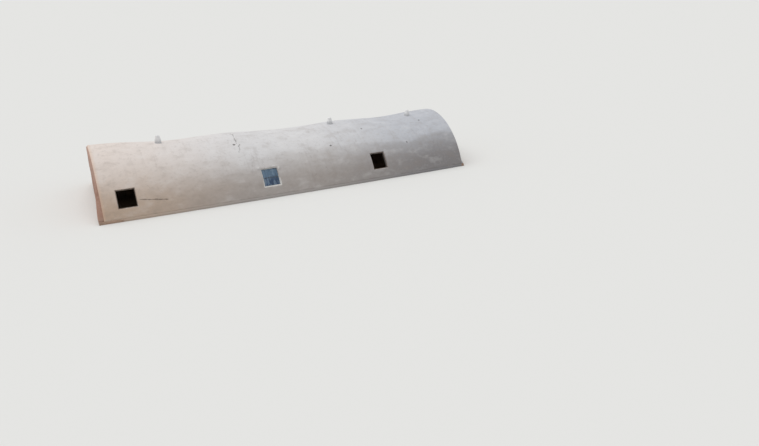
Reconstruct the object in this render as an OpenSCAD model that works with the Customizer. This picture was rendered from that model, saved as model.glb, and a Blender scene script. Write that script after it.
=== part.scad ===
// Vaulted earth house: one long barrel vault of stabilised earth, hollow, with a mud
// wall closing each end, square windows low in both haunches, a doorway in the right
// end wall and capped vent stubs along the ridge.
// Millimetres. X runs along the vault, -Y is the front, Z is up, the ground is Z = 0
// and the origin is in the middle of the plan.

/* [Vault] */
// Length of the vault between the outer edges of its two rims
vault_length = 17400; // [16000:100:22000]
// Width across the foot of the vault at its ends
vault_width = 6100; // [5000:50:7300]
// How far each side of the plan bows out at mid-length
plan_bow = 105; // [0:5:150]
// Height of the crest at the left end
crest_left = 2460; // [2400:10:3000]
// Height of the crest at the right end
crest_right = 2340; // [2300:10:3000]
// How far the crest sags at mid-length
crest_sag = 150; // [0:5:160]
// Height of the slow waves left by the hand building, either side of the crest line
crest_wave = 43; // [0:1:60]
// Length of one wave along the crest
crest_wave_length = 5500; // [3000:100:8000]
// Place of a wave's top along the crest, from the middle of the vault
crest_wave_place = 3050; // [-4000:50:4000]
// Steepness of the section: 1 is an ellipse, larger is more like a hanging chain
section_rise = 1.34; // [1.1:0.01:1.6]
// Thickness of the earth shell
shell_t = 280; // [200:10:400]

/* [Footing] */
// Height of the footing under all the walls
footing_h = 120; // [60:10:250]
// How far the footing runs in past the shell
footing_in = 60; // [20:5:150]
// Thickness of the beaten earth floor
floor_t = 90; // [50:5:110]

/* [End walls] */
// Thickness of an end wall
end_t = 300; // [200:10:450]
// How far the mud swells out at the front corner of the left end wall
corner_out = 230; // [100:10:500]
// How far the swelling reaches along the wall from the corner
corner_w = 2150; // [800:50:2500]
// How high it reaches
corner_h = 1900; // [900:50:2200]
// How far the face of the left end wall falls back at its back corner
left_fall = 180; // [0:10:200]
// How far the battered foot of the right end wall stands out
batter_out = 110; // [60:5:400]
// Height of the battered foot
batter_h = 450; // [300:10:1500]

/* [Windows] */
// Width of each square window
window_w = 780; // [500:10:950]
// Height of a window's sill line on the outside
window_sill = 510; // [300:10:700]
// Height of a window's head line on the outside
window_head = 1210; // [900:10:1300]
// From the left rim to the middle of the first window
window_from_end = 977; // [700:10:1500]
// From the first window to the second
window_gap_1 = 6190; // [3000:10:6500]
// From the second window to the third
window_gap_2 = 5520; // [3000:10:6000]
// Width of the bars of a window frame
frame_bar = 28; // [20:2:80]
// Thickness of a window frame
frame_t = 40; // [30:5:70]
// How far the frames are set in from the outer face
frame_set_in = 45; // [10:5:80]
// Thickness of the glass in the middle windows
glass_t = 8; // [4:1:12]

/* [Doorway] */
// Width of the doorway in the right end wall
door_w = 1000; // [800:10:1200]
// Height of the threshold
threshold_h = 110; // [60:5:150]
// Height of the underside of the lintel
door_head = 1950; // [1700:10:2000]
// Height of the timber lintel
lintel_h = 120; // [80:5:150]
// How far the lintel bears on the wall each side
lintel_bearing = 200; // [100:10:300]
// Width of the door frame's timber
door_frame_w = 70; // [50:5:100]
// Depth of the door frame
door_frame_t = 110; // [80:5:160]

/* [Ridge vents] */
// Radius of a vent stub at its foot
vent_foot_r = 140; // [90:5:180]
// Radius of its rounded cap
vent_cap_r = 95; // [40:5:120]
// Height of a stub above the crest
vent_h = 370; // [200:10:450]
// From the left rim to the first stub
vent_from_end = 2880; // [1500:10:4000]
// From the first stub to the second
vent_gap_1 = 8390; // [4000:10:9000]
// From the second stub to the third
vent_gap_2 = 4390; // [2000:10:5000]
// How far the third stub stands forward of the crest
vent_forward = 200; // [0:10:400]

/* [Smoothness] */
// Longest step between two sections of the vault
section_step = 600; // [300:50:1200]
// Steps round the low part of the shell, from the footing to the window heads
low_steps = 7; // [4:1:12]
// Steps round each half of the crown
crown_steps = 10; // [6:1:16]

/* [Hidden] */

plaster = [0.70, 0.66, 0.60];
mud = [0.62, 0.47, 0.37];
earth = [0.52, 0.42, 0.33];
pale_paint = [0.82, 0.81, 0.77];
timber = [0.45, 0.34, 0.24];
blue_glass = [0.30, 0.45, 0.55, 0.6];

FRONT = -1;
BACK = 1;
half_l = vault_length / 2;
shell_end = half_l - end_t;

// Places along the vault
window_x = [for (run = [0, window_gap_1, window_gap_1 + window_gap_2])
    window_from_end - half_l + run];
vent_x = [for (run = [0, vent_gap_1, vent_gap_1 + vent_gap_2])
    vent_from_end - half_l + run];
vent_y = [0, 0, -vent_forward];
window_edges = [for (x = window_x, side = [-1, 1]) x + side * window_w / 2];
pier_edges = concat([-shell_end], window_edges, [shell_end]);
crown_edges = [for (i = [0 : 4]) -shell_end + i * shell_end / 2];
bar_edges = [for (x = window_x, side = [-1, 1]) x + side * (window_w / 2 - frame_bar)];

// The section changes along the vault: its crest height and its half width at x
function along(x) = x / half_l;
function crest_at(x) =
    (crest_left + crest_right) / 2 + (crest_right - crest_left) / 2 * along(x)
    - crest_sag * (1 - pow(along(x), 2))
    + crest_wave * cos(360 * (x - crest_wave_place) / crest_wave_length);
function half_width_at(x) = vault_width / 2 + plan_bow * (1 - pow(along(x), 2));

// A point of the shell at the front: turn is 0 at the foot, 90 at the crest and up to
// 180 at the back foot, and deep is the distance in from the outer face
function shell_point(x, turn, deep = 0) = [
    x,
    -(half_width_at(x) - deep) * cos(turn),
    (crest_at(x) - deep) * pow(sin(turn), section_rise)
];
// Height of the outer face over a place in the plan
function height_over(x, y) =
    crest_at(x) * pow(sqrt(1 - pow(y / half_width_at(x), 2)), section_rise);
// The turn at which the face that lies deep inside the shell reaches a height
function turn_at(x, z, deep = 0) =
    asin(min(1, pow(z / (crest_at(x) - deep), 1 / section_rise)));
function between(a, b, share) = a + (b - a) * share;

// Sections are cut at every window edge, frame bar and crown joint, with even steps between
function sorted(v) = len(v) < 2 ? v : let (p = v[floor(len(v) / 2)]) concat(
    sorted([for (a = v) if (a < p) a]), [p], sorted([for (a = v) if (a > p) a]));
fixed_x = sorted(concat(pier_edges, crown_edges, bar_edges));
section_x = concat([for (i = [0 : len(fixed_x) - 2])
    let (a = fixed_x[i], b = fixed_x[i + 1], n = ceil((b - a) / section_step))
    for (k = [0 : n - 1]) between(a, b, k / n)], [shell_end]);
function sections(x0, x1) =
    concat([x0], [for (x = section_x) if (x > x0 + 1 && x < x1 - 1) x], [x1]);
function section_before(x) = max([for (s = section_x) if (s <= x) s]);
function section_after(x) = min([for (s = section_x) if (s >= x) s]);

// A closed block over a grid of points, where rows[i][j] is [outer point, inner point]
module lofted(rows) {
    n = len(rows);
    m = len(rows[0]);
    function id(i, j, k) = (i * m + j) * 2 + k;
    function halves(a, b, c, d) = [[a, b, c], [a, c, d]];
    points = [for (row = rows, pair = row, p = pair) p];
    outer = [for (i = [0 : n - 2], j = [0 : m - 2])
        each halves(id(i, j, 0), id(i, j + 1, 0), id(i + 1, j + 1, 0), id(i + 1, j, 0))];
    inner = [for (i = [0 : n - 2], j = [0 : m - 2])
        each halves(id(i, j, 1), id(i + 1, j, 1), id(i + 1, j + 1, 1), id(i, j + 1, 1))];
    low = [for (i = [0 : n - 2])
        each halves(id(i, 0, 0), id(i + 1, 0, 0), id(i + 1, 0, 1), id(i, 0, 1))];
    high = [for (i = [0 : n - 2]) let (t = m - 1)
        each halves(id(i, t, 0), id(i, t, 1), id(i + 1, t, 1), id(i + 1, t, 0))];
    first = [for (j = [0 : m - 2])
        each halves(id(0, j, 0), id(0, j, 1), id(0, j + 1, 1), id(0, j + 1, 0))];
    last = [for (j = [0 : m - 2]) let (e = n - 1)
        each halves(id(e, j, 0), id(e, j + 1, 0), id(e, j + 1, 1), id(e, j, 1))];
    polyhedron(points, concat(outer, inner, low, high, first, last), convexity = 6);
}

// The outer and inner turns of the shell's foot, which is flat on the footing, and of
// a line at a height on the outer face, from where a face runs straight in
function foot_turns(x) = [turn_at(x, footing_h), turn_at(x, footing_h, shell_t)];
function line_turns(x, z) = [turn_at(x, z), turn_at(x, z)];

// Part of the front shell from the footing up to a height on the outer face
module low_shell(x0, x1, top) {
    lofted([for (x = sections(x0, x1)) let (a = foot_turns(x), b = line_turns(x, top))
        [for (j = [0 : low_steps]) let (t = between(a, b, j / low_steps))
            [shell_point(x, t[0]), shell_point(x, t[1], shell_t)]]]);
}

// Part of the front half of the crown, from the window heads to the crest
module crown(x0, x1) {
    lofted([for (x = sections(x0, x1))
        [for (j = [0 : crown_steps])
            let (t = between(turn_at(x, window_head), 90, j / crown_steps))
            [shell_point(x, t), shell_point(x, t, shell_t)]]]);
}

module placed(side) {
    if (side == FRONT) children();
    else mirror([0, 1, 0]) children();
}

module pier(i, side) {
    color(plaster) placed(side) low_shell(pier_edges[2 * i], pier_edges[2 * i + 1], window_head);
}

module apron(i, side) {
    color(plaster) placed(side)
        low_shell(pier_edges[2 * i + 1], pier_edges[2 * i + 2], window_sill);
}

module crown_bay(i, side) {
    color(plaster) placed(side) crown(crown_edges[i], crown_edges[i + 1]);
}

// Turns of the outer face from the foot to the crest, as the shell's own blocks have
function half_turns(x) = let (f = turn_at(x, footing_h), h = turn_at(x, window_head)) concat(
    [for (j = [0 : low_steps]) between(f, h, j / low_steps)],
    [for (j = [1 : crown_steps]) between(h, 90, j / crown_steps)]);
// Turns from the front over the crest to the back: a first turn, and the last few of
// those up to the crest
function turns_over(x, start, count) =
    let (all = half_turns(x), n = len(all), up = [for (i = [n - count : n - 1]) all[i]])
    concat([start], up, [for (i = [count - 2 : -1 : 0]) 180 - up[i]], [180 - start]);
all_turns = low_steps + crown_steps;
function whole_ring(x) =
    [for (t = turns_over(x, turn_at(x, footing_h), all_turns)) shell_point(x, t)];

// A slab between two sections: rings of as many points each, going round from the
// front foot over the crest and back below
module slab_between(ring_a, ring_b) {
    n = len(ring_a);
    sides = [for (i = [0 : n - 1]) let (k = (i + 1) % n) each [[i, k, k + n], [i, k + n, i + n]]];
    caps = [[for (i = [n - 1 : -1 : 0]) i], [for (i = [0 : n - 1]) i + n]];
    polyhedron(concat(ring_a, ring_b), concat(caps, sides), convexity = 6);
}

// The left end wall, its face falling back more and more towards the back corner
fall_steps = 10;
function fall_at(y) = left_fall * pow(max(0, y) / half_width_at(half_l), 1.5);

module left_end_wall() {
    past = 20;
    y_end = half_width_at(half_l) + past;
    color(mud) difference() {
        slab_between(whole_ring(-half_l), whole_ring(-shell_end));
        translate([0, 0, footing_h - past]) linear_extrude(crest_left + past) polygon(concat(
            [[-half_l - past, -past]],
            [for (i = [0 : fall_steps]) let (y = y_end * i / fall_steps)
                [-half_l + fall_at(y), y]],
            [[-half_l - past, y_end]]));
    }
}

// The right end wall: a side up to the lintel's seat and its end, and the wall over it
lintel_top = door_head + lintel_h;
lintel_y = door_w / 2 + lintel_bearing;
function lintel_turn(x) = acos(lintel_y / half_width_at(x));
// How many of the section's turns lie below the lintel's end and above it
low_count = len([for (t = half_turns(shell_end)) if (t < lintel_turn(shell_end) - 1) t]);
high_count = len([for (t = half_turns(shell_end)) if (t > lintel_turn(shell_end) + 1) t]);

module right_end_side(side) {
    function ring(x) = concat(
        [for (i = [0 : low_count - 1]) shell_point(x, half_turns(x)[i])],
        [shell_point(x, lintel_turn(x))],
        [[x, -lintel_y, door_head], [x, -door_w / 2, door_head], [x, -door_w / 2, footing_h]]);
    color(mud) placed(side) slab_between(ring(shell_end), ring(half_l));
}

module right_end_over_door() {
    function ring(x) = concat(
        [for (t = turns_over(x, lintel_turn(x), high_count)) shell_point(x, t)],
        [[x, lintel_y, lintel_top], [x, -lintel_y, lintel_top]]);
    color(mud) slab_between(ring(shell_end), ring(half_l));
}

// The space in front of an end wall that lies inside the section of the vault
module section_prism(reach) {
    translate([half_l, 0, 0]) rotate([90, 0, 90]) linear_extrude(reach)
        polygon([for (p = whole_ring(half_l)) [p[1], p[2]]]);
}

// How far the mud of the left end wall stands out at a place over the footing: most at
// the foot of the front corner, running out along the wall and up it. Past its edges it
// lies a little behind the face, so that the swelling comes out of the wall cleanly.
function smooth_share(v) = let (t = max(0, min(1, v))) t * t * (3 - 2 * t);
function swelling(y, z) = let (
        dip = 2,
        near_corner = smooth_share(1 - (half_width_at(half_l) + y) / corner_w),
        up = (z - footing_h) / (corner_h - footing_h))
    (corner_out + dip) * near_corner * (1 - up * up) - dip;

// The swollen front corner of the left end wall, cut to the section of the vault
module left_corner() {
    steps = 12;
    past_corner = 20;
    y0 = -half_width_at(half_l) - past_corner;
    color(mud) mirror([1, 0, 0]) intersection() {
        lofted([for (i = [0 : steps]) let (y = y0 + (corner_w + past_corner) * i / steps)
            [for (j = [0 : steps]) let (z = between(footing_h, corner_h, j / steps))
                [[half_l + swelling(y, z), y, z], [half_l - corner_out, y, z]]]]);
        section_prism(2 * corner_out);
    }
}

// The battered foot of the right end wall: a hollow curve from the ground out to the
// wall, its outer end cut to the section of the vault, up to a jamb of the doorway
module right_batter(side) {
    steps = 8;
    curve = [for (i = [0 : steps]) let (z = between(footing_h, batter_h, i / steps))
        [half_l + batter_out * pow(1 - i / steps, 2), z]];
    color(mud) placed(side) intersection() {
        translate([0, -door_w / 2, 0]) rotate([90, 0, 0]) linear_extrude(vault_width)
            polygon(concat(curve, [[half_l, footing_h]]));
        translate([-1, 0, 0]) section_prism(batter_out + 2);
    }
}

// Plan of the footing: the outer line of the vault, and a line set in from it, from
// the swollen corner and the fallen back face on the left to the battered foot
foot_right = half_l + batter_out;
foot_end_in = shell_end - footing_in;
foot_t = shell_t + footing_in;
function foot_left(side) = side == FRONT
    ? -half_l - corner_out : -half_l + fall_at(half_width_at(half_l) - foot_t);
foot_x = sorted(concat(section_x, [-half_l, -foot_end_in, foot_end_in, half_l]));
function foot_y(x, deep) = half_width_at(min(abs(x), half_l)) - deep;
function foot_line(x0, x1, deep, side) =
    let (places = concat([x0], [for (x = foot_x) if (x > x0 + 1 && x < x1 - 1) x], [x1]))
    [for (x = places) [x, side * foot_y(x, deep)]];
function reversed(v) = [for (i = [len(v) - 1 : -1 : 0]) v[i]];

module long_footing(side) {
    color(earth) linear_extrude(footing_h) polygon(concat(
        foot_line(foot_left(side), foot_right, 0, side),
        reversed(foot_line(foot_left(side), foot_right, foot_t, side))));
}

module left_footing() {
    steps = 24;
    y_end = foot_y(half_l, foot_t);
    color(earth) linear_extrude(footing_h) polygon(concat(
        [for (i = [0 : steps - 1]) let (y = between(-y_end, y_end, i / steps))
            [-half_l - max(0, swelling(y, footing_h)) + fall_at(y), y]],
        foot_line(foot_left(BACK), -foot_end_in, foot_t, BACK),
        reversed(foot_line(-half_l, -foot_end_in, foot_t, FRONT))));
}

module right_footing(side) {
    color(earth) linear_extrude(footing_h) polygon(concat(
        foot_line(foot_end_in, foot_right, foot_t, side),
        [[foot_right, side * door_w / 2], [foot_end_in, side * door_w / 2]]));
}

module earth_floor() {
    color(earth) linear_extrude(floor_t) polygon(concat(
        foot_line(-foot_end_in, foot_end_in, foot_t, FRONT),
        reversed(foot_line(-foot_end_in, foot_end_in, foot_t, BACK))));
}

// One straight bar or pane in a window, through places along the vault, between two
// heights on the outer face and from a depth in the shell
module window_bar(places, z0, z1, deep, t) {
    lofted([for (x = places) [for (z = [z0, z1]) let (turn = turn_at(x, z))
        [shell_point(x, turn, deep), shell_point(x, turn, deep + t)]]]);
}

// A bar's width seen upright, as the window leans back with the shell
function slope_length(x) = norm(shell_point(x, turn_at(x, window_head))
    - shell_point(x, turn_at(x, window_sill)));
function bar_rise(x) = frame_bar * (window_head - window_sill) / slope_length(x);

// A window frame of four bars, with a bar across the middle where it is glazed
module window_frame(i, side, glazed) {
    x0 = window_x[i] - window_w / 2;
    x1 = window_x[i] + window_w / 2;
    clear = sections(x0 + frame_bar, x1 - frame_bar);
    rise = bar_rise(window_x[i]);
    middle = (window_sill + window_head) / 2;
    color(pale_paint) placed(side) {
        for (z = [window_sill, window_head - rise])
            window_bar(sections(x0, x1), z, z + rise, frame_set_in, frame_t);
        for (post = [[x0, x0 + frame_bar], [x1 - frame_bar, x1]])
            window_bar(post, window_sill + rise, window_head - rise, frame_set_in, frame_t);
        if (glazed)
            window_bar(clear, middle - rise / 4, middle + rise / 4, frame_set_in, frame_t);
    }
}

// Two panes, over and under the bar of a glazed window
module panes(i, side) {
    clear = sections(window_x[i] - window_w / 2 + frame_bar, window_x[i] + window_w / 2 - frame_bar);
    rise = bar_rise(window_x[i]);
    middle = (window_sill + window_head) / 2;
    deep = frame_set_in + (frame_t - glass_t) / 2;
    color(blue_glass) placed(side) {
        window_bar(clear, window_sill + rise, middle - rise / 4, deep, glass_t);
        window_bar(clear, middle + rise / 4, window_head - rise, deep, glass_t);
    }
}

module window_glass() {
    panes(1, FRONT);
    panes(1, BACK);
}

module door_threshold() {
    color(timber) translate([foot_end_in, -door_w / 2, 0])
        cube([foot_right - foot_end_in, door_w, threshold_h]);
}

module door_lintel() {
    color(timber) translate([shell_end, -lintel_y, door_head])
        cube([end_t, 2 * lintel_y, lintel_h]);
}

// Two posts on the threshold and a head under the lintel, mid-way in the wall
module door_frame() {
    x0 = half_l - (end_t + door_frame_t) / 2;
    color(timber) difference() {
        translate([x0, -door_w / 2, threshold_h])
            cube([door_frame_t, door_w, door_head - threshold_h]);
        translate([x0 - 1, door_frame_w - door_w / 2, threshold_h - 1])
            cube([door_frame_t + 2, door_w - 2 * door_frame_w,
                door_head - threshold_h - door_frame_w + 1]);
    }
}

// One capped stub: a cone with a round top, its foot shaped to the crown under it
module ridge_vent(x, y) {
    buried = shell_t / 2;
    cap_z = vent_h - vent_cap_r;
    profile = concat(
        [[0, -buried], [vent_foot_r, -buried], [vent_foot_r, 0]],
        [for (a = [0 : 15 : 90]) [vent_cap_r * cos(a), cap_z + vent_cap_r * sin(a)]]);
    color(plaster) difference() {
        translate([x, y, height_over(x, y)]) rotate_extrude($fn = 48) polygon(profile);
        for (side = [FRONT, BACK]) placed(side)
            crown(section_before(x - vent_foot_r), section_after(x + vent_foot_r));
    }
}

module ridge_vents() {
    for (i = [0 : 2]) ridge_vent(vent_x[i], vent_y[i]);
}

pier(0, FRONT);  // front_pier_1
apron(0, FRONT);  // front_apron_1
pier(1, FRONT);  // front_pier_2
apron(1, FRONT);  // front_apron_2
pier(2, FRONT);  // front_pier_3
apron(2, FRONT);  // front_apron_3
pier(3, FRONT);  // front_pier_4
pier(0, BACK);  // back_pier_1
apron(0, BACK);  // back_apron_1
pier(1, BACK);  // back_pier_2
apron(1, BACK);  // back_apron_2
pier(2, BACK);  // back_pier_3
apron(2, BACK);  // back_apron_3
pier(3, BACK);  // back_pier_4
crown_bay(0, FRONT);  // front_crown_1
crown_bay(1, FRONT);  // front_crown_2
crown_bay(2, FRONT);  // front_crown_3
crown_bay(3, FRONT);  // front_crown_4
crown_bay(0, BACK);  // back_crown_1
crown_bay(1, BACK);  // back_crown_2
crown_bay(2, BACK);  // back_crown_3
crown_bay(3, BACK);  // back_crown_4
left_end_wall();
left_corner();  // left_end_batter
right_end_side(FRONT);  // right_end_front
right_end_side(BACK);  // right_end_back
right_end_over_door();
right_batter(FRONT);  // right_batter_front
right_batter(BACK);  // right_batter_back
long_footing(FRONT);  // front_footing
long_footing(BACK);  // back_footing
left_footing();
right_footing(FRONT);  // right_footing_front
right_footing(BACK);  // right_footing_back
earth_floor();
window_frame(0, FRONT, false);  // front_window_frame_1
window_frame(1, FRONT, true);  // front_window_frame_2
window_frame(2, FRONT, false);  // front_window_frame_3
window_frame(0, BACK, false);  // back_window_frame_1
window_frame(1, BACK, true);  // back_window_frame_2
window_frame(2, BACK, false);  // back_window_frame_3
window_glass();
door_threshold();
door_lintel();
door_frame();
ridge_vents();
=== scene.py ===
import math

import bmesh
import bpy
from mathutils import Matrix, Vector, noise


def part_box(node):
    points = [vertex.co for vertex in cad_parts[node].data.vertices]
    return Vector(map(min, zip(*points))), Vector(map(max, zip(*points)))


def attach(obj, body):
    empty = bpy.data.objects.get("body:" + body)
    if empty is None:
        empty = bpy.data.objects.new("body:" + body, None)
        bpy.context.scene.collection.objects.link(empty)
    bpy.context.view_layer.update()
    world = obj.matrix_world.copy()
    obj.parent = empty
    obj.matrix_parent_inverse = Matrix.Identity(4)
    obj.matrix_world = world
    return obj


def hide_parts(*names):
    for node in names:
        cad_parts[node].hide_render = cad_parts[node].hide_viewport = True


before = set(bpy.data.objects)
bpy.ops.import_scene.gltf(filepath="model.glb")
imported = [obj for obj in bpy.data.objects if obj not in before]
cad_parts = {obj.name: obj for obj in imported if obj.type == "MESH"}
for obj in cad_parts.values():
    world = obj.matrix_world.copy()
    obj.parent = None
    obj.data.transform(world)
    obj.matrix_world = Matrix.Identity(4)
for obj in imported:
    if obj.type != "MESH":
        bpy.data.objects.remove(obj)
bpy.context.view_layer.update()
scene = bpy.context.scene
scene.view_settings.view_transform = "Standard"


# Camera: stands high in front of the left end and looks along the house, a little down.
# Its place, turn and lens were worked out from the house's own corners and windows.
eye = Vector((-9.9305, -29.4145, 9.8732))
eye_turn_right = math.radians(27.57)
eye_tilt_down = math.radians(22.254)
picture_width_px = 759
focal_px = 638.6
sensor_width_mm = 36
sight_reach = 600

camera = bpy.data.cameras.new("camera")
camera.sensor_width = sensor_width_mm
camera.lens = focal_px / picture_width_px * sensor_width_mm
camera.clip_end = sight_reach
camera_stand = bpy.data.objects.new("camera", camera)
camera_stand.location = eye
camera_stand.rotation_euler = (math.pi / 2 - eye_tilt_down, 0, -eye_turn_right)
scene.collection.objects.link(camera_stand)
scene.camera = camera_stand


# Vault: one long barrel of adobe, a single brick thick, over the room, with a coat of
# pale lime and earth plaster put on by hand, outside and round the window openings.
vault_length = 17.4
vault_width = 6.1
plan_bow = 0.105
crest_left = 2.46
crest_right = 2.34
crest_sag = 0.15
crest_wave = 0.043
crest_wave_length = 5.5
crest_wave_place = 3.05
section_rise = 1.34
shell_t = 0.28
footing_h = 0.12
window_sill = 0.51
window_head = 1.21
left_fall = 0.18
left_fall_reach = 0.55
left_rim_out = 0.03
right_rim_in = 0.01
half_l = vault_length / 2
rim_left = -half_l - left_rim_out
rim_right = half_l - right_rim_in

# Margins for picking out parts of a mesh by their place, and how sharp a corner is
hair = 0.001
finger = 0.01
sharp_angle = 0.7

FRONT = -1
BACK = 1
SIDES = {"front": FRONT, "back": BACK}


def crest_at(x):
    """Height of the crest, which sags at mid-length and waves slowly"""
    along = x / half_l
    level = (crest_left + crest_right) / 2 + (crest_right - crest_left) / 2 * along
    wave = math.cos(2 * math.pi * (x - crest_wave_place) / crest_wave_length)
    return level - crest_sag * (1 - along ** 2) + crest_wave * wave


def half_width_at(x):
    """Half the width at the foot: the sides bow out in plan"""
    along = min(1, abs(x) / half_l)
    return vault_width / 2 + plan_bow * (1 - along ** 2)


end_half_w = half_width_at(half_l)


def shell_point(x, turn, deep=0.0, side=FRONT):
    """A point of the shell: turn is 0 at the foot and a right angle at the crest"""
    across = (half_width_at(x) - deep) * math.cos(turn)
    up = (crest_at(x) - deep) * max(0.0, math.sin(turn)) ** section_rise
    return Vector((x, side * across, up))


def turn_at(x, z, deep=0.0):
    """The turn at which the face that lies deep inside the shell reaches a height"""
    return math.asin(min(1, (z / (crest_at(x) - deep)) ** (1 / section_rise)))


def outer_height(x, y):
    """Height of the outer face over a point of the plan"""
    turn = math.acos(max(-1, min(1, y / half_width_at(x))))
    return crest_at(x) * math.sin(turn) ** section_rise


def key_turns(x):
    """Turns of the lines that the shell is laid to: foot, sills, heads and crest"""
    return [turn_at(x, footing_h), turn_at(x, window_sill), turn_at(x, window_head), math.pi / 2]


def slope_length(x, turn_a, turn_b, pieces=24):
    """Length over the outer face between two turns"""
    points = [shell_point(x, turn_a + (turn_b - turn_a) * k / pieces) for k in range(pieces + 1)]
    return sum((b - a).length for a, b in zip(points, points[1:]))


# Lengths over the outer face from the foot to each of those lines, at mid-vault
slope_marks = [0.0]
for low_turn, high_turn in zip(key_turns(0), key_turns(0)[1:]):
    slope_marks.append(slope_marks[-1] + slope_length(0, low_turn, high_turn))
foot_line, sill_line, head_line, crest_line = slope_marks


def fold_point(x, girth, deep):
    """Bends a point of the flat sheet over the house. Girth is the length over the face
    from the crest, less than 0 on the front, and deep is the distance in from the face."""
    run = crest_line - min(abs(girth), crest_line)
    turns = key_turns(x)
    span = next((i for i in range(3) if run <= slope_marks[i + 1]), 2)
    share = (run - slope_marks[span]) / (slope_marks[span + 1] - slope_marks[span])
    turn = turns[span] + (turns[span + 1] - turns[span]) * share
    if span == 0:
        foot_lean = turn_at(x, footing_h, shell_t) - turns[0]
        turn += foot_lean * (1 - share) * max(0, deep) / shell_t
    return shell_point(x, turn, deep, FRONT if girth < 0 else BACK)


def fall_at(y):
    """How far the left end falls back towards its back corner"""
    return left_fall * (max(0, y) / end_half_w) ** 1.5


def fold(bm):
    """Bends a flat mesh over the house: its X, Y and Z are place, girth and height"""
    for v in bm.verts:
        near_rim = max(0, 1 - (v.co.x + half_l) / left_fall_reach)
        v.co = fold_point(v.co.x, v.co.y, -v.co.z)
        v.co.x += fall_at(v.co.y) * near_rim


def stations(marks, step, fine_step=None, fine_span=0.0):
    """Even steps between the marks, finer ones across short spans"""
    places = []
    for a, b in zip(marks, marks[1:]):
        wish = fine_step if fine_step and b - a <= fine_span + 1e-6 else step
        count = max(1, math.ceil((b - a) / wish - 1e-6))
        places += [a + (b - a) * k / count for k in range(count)]
    return places + [marks[-1]]


def flat_sheet(across, up):
    """A flat grid whose lines lie at the given places"""
    bm = bmesh.new()
    bmesh.ops.create_grid(bm, x_segments=len(across) - 1, y_segments=len(up) - 1, size=1)
    for v in bm.verts:
        i = round((v.co.x + 1) / 2 * (len(across) - 1))
        j = round((v.co.y + 1) / 2 * (len(up) - 1))
        v.co = (across[i], up[j], 0)
    return bm


def cut_out(bm, x0, x1, y0, y1):
    """Takes out the faces of a flat grid that lie inside a rectangle"""
    inside = []
    for f in bm.faces:
        middle = f.calc_center_median()
        if x0 < middle.x < x1 and y0 < middle.y < y1:
            inside.append(f)
    bmesh.ops.delete(bm, geom=inside, context="FACES")


def thicken(bm, thickness):
    """Gives a flat sheet its thickness, downwards, and its far face the second finish"""
    bmesh.ops.solidify(bm, geom=bm.faces[:], thickness=thickness)
    for face in bm.faces:
        face.material_index = 1 if face.calc_center_median().z < -thickness + hair else 0


def outer_corners(bm, test=lambda middle: True):
    """Edges of a thickened sheet's outer face with a sharp corner, whose middle passes a test"""
    corners = []
    for e in bm.edges:
        middle = (e.verts[0].co + e.verts[1].co) / 2
        sharp = len(e.link_faces) == 2 and e.calc_face_angle() > sharp_angle
        if sharp and middle.z > -hair and test(middle):
            corners.append(e)
    return corners


def round_edges(bm, edges, radius, segments):
    bmesh.ops.bevel(bm, geom=edges, offset=radius, segments=segments, profile=0.5, affect="EDGES",
                    material=-1)


def face_outwards(bm):
    """Turns a closed mesh right side out, where a mirrored shape left it inside out"""
    if bm.calc_volume(signed=True) < 0:
        bmesh.ops.reverse_faces(bm, faces=bm.faces[:])


def unevenness(place, waves):
    """Sum of smooth random waves, each a wavelength and a height, both in metres"""
    return sum(noise.noise(place / length + Vector((11.3 * k, 5.7, 3.1))) * height
               for k, (length, height) in enumerate(waves))


def make_object(name, bm, finishes, smooth=True):
    """Makes an object of a finished mesh, with its finishes"""
    mesh = bpy.data.meshes.new(name)
    bm.normal_update()
    bm.to_mesh(mesh)
    bm.free()
    for finish in finishes:
        mesh.materials.append(finish)
    for face in mesh.polygons:
        face.use_smooth = smooth
    made = bpy.data.objects.new(name, mesh)
    scene.collection.objects.link(made)
    return made


def make_piece(name, bm, finishes, stands_for, smooth=True):
    """Makes a piece of the house, with its body and the CAD nodes it stands for"""
    piece = make_object(name, bm, finishes, smooth)
    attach(piece, "root")
    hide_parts(*stands_for)


def paint(red, green, blue):
    """A colour as a screen shows it, 0 to 255, in the shader's own linear values"""
    linear = []
    for value in (red, green, blue):
        share = value / 255
        linear.append(share / 12.92 if share <= 0.04045 else ((share + 0.055) / 1.055) ** 2.4)
    return (*linear, 1)


def plug(tree, socket, value):
    """Links another node's socket to this one, or sets it to a plain value"""
    if isinstance(value, bpy.types.NodeSocket):
        tree.links.new(value, socket)
    else:
        socket.default_value = value


def add(tree, kind, settings=None, **inputs):
    """Adds a shader node with its settings, and sets or links its inputs by name"""
    node = tree.nodes.new(kind)
    for name, value in (settings or {}).items():
        setattr(node, name, value)
    for name, value in inputs.items():
        plug(tree, node.inputs[name.replace("_", " ")], value)
    return node


def calc(tree, operation, *values):
    """One sum on one, two or three values"""
    node = add(tree, "ShaderNodeMath", {"operation": operation})
    for socket, value in zip(node.inputs, values):
        plug(tree, socket, value)
    return node.outputs[0]


def times(tree, a, b):
    return calc(tree, "MULTIPLY", a, b)


def vector_calc(tree, operation, *vectors):
    """One sum on one or two vectors, which gives a vector or a plain value"""
    node = add(tree, "ShaderNodeVectorMath", {"operation": operation})
    for socket, vector in zip(node.inputs, vectors):
        plug(tree, socket, vector)
    return node.outputs["Value" if operation in ("DOT_PRODUCT", "DISTANCE") else "Vector"]


def stretch(tree, place, factors):
    return vector_calc(tree, "MULTIPLY", place, factors)


def rise(tree, value, low, high, low_to=0.0, high_to=1.0):
    """A smooth rise from one level to another as a value goes from low to high"""
    return add(tree, "ShaderNodeMapRange", {"interpolation_type": "SMOOTHSTEP"}, Value=value,
               From_Min=low, From_Max=high, To_Min=low_to, To_Max=high_to).outputs[0]


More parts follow.
